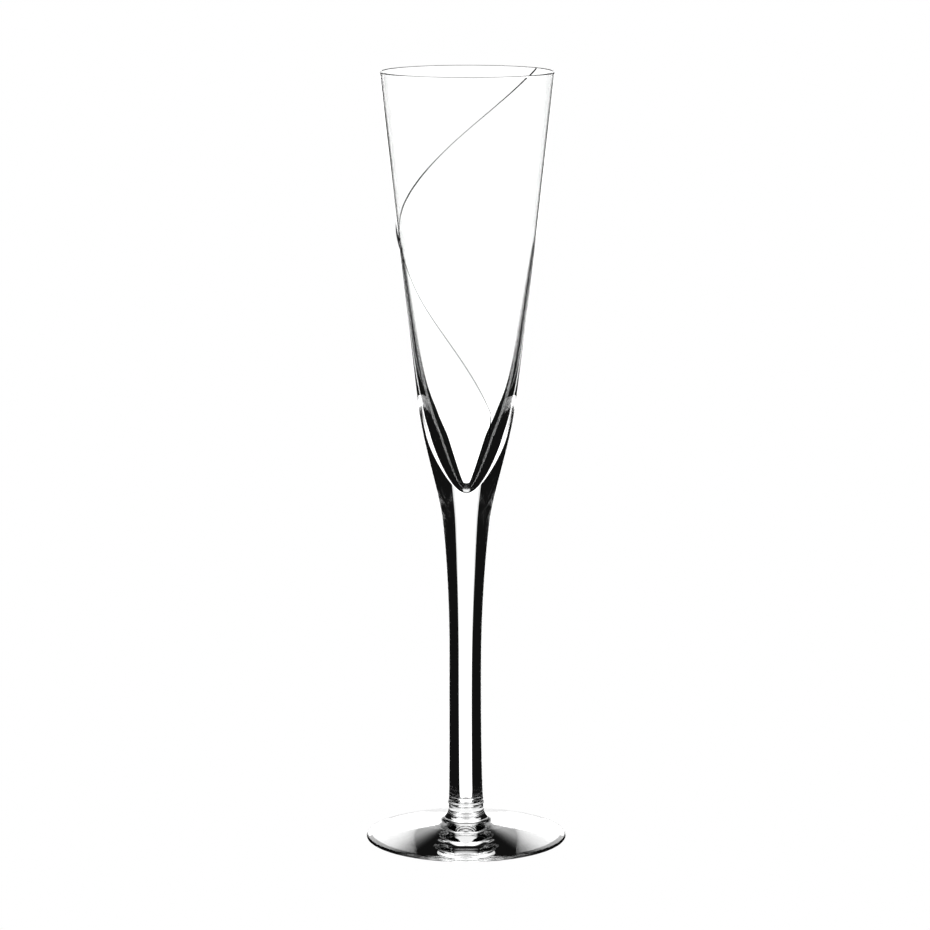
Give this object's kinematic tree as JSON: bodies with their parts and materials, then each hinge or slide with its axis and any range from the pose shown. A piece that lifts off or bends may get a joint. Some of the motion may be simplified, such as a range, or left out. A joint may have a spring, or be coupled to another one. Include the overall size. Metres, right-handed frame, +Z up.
{
  "type": "champagne flute",
  "caption": "Tall conical champagne flute in clear blown glass on a drawn solid stem and flat foot, with a thin black glass thread wound round the bowl.",
  "frame": {"origin": "centre of the base, on the surface the glass stands on", "axes": "+Z up along the stem to the rim, -Y towards the front of the glass, +X to the right"},
  "size_m": [0.0652, 0.0652, 0.25],
  "materials": {
    "clear_glass": "fire-polished, colourless",
    "black_glass": "glossy opaque black glass"
  },
  "bodies": {
    "root": {"bowl": "clear_glass", "stem": "clear_glass", "foot": "clear_glass", "line_thread": "black_glass"}
  },
  "joints": []
}
